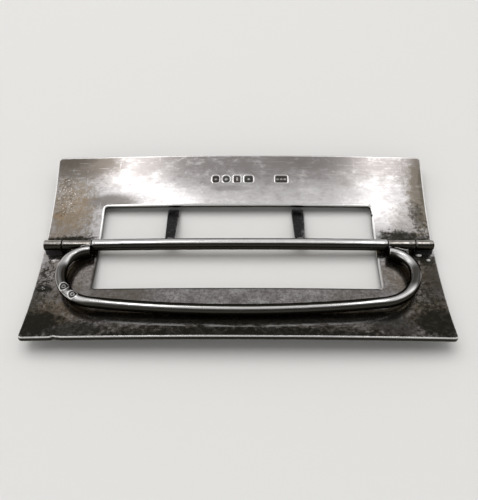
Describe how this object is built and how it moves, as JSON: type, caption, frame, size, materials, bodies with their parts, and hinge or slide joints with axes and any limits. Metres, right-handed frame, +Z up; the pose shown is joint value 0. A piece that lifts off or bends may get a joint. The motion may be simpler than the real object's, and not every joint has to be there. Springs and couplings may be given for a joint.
{
  "type": "belt buckle",
  "caption": "Rectangular curved sheet-metal belt buckle lying face down, with a hinge bar, a swinging belt loop and a pair of prongs on its back.",
  "frame": {"origin": "middle of the buckle's outline, on the surface that it lies on", "axes": "+X along the long side, +Y away from the belt loop across the hinge bar, +Z up out of the back of the plate"},
  "size_m": [0.092, 0.0518, 0.0071],
  "materials": {
    "plate_silver": "worn, lightly tarnished sheet silver",
    "pin_silver": "dull worn silver",
    "loop_silver": "polished drawn silver wire with fine wear",
    "bar_silver": "polished silver tube, prongs greyed"
  },
  "bodies": {
    "frame": {"frame_plate": "plate_silver", "hinge_pin": "pin_silver"},
    "loop": {"belt_loop": "loop_silver"},
    "prongs": {"prong_bar": "bar_silver"}
  },
  "joints": [
    {"name": "loop_hinge", "type": "hinge", "parent": "frame", "child": "loop", "pos_m": [0, -0.0003, 0.00315], "axis": [-1, 0, 0], "range_deg": [0, 163.5]},
    {"name": "prong_hinge", "type": "hinge", "parent": "frame", "child": "prongs", "pos_m": [0, -0.0003, 0.00315], "axis": [1, 0, 0], "range_deg": [-158, 2.5]}
  ]
}
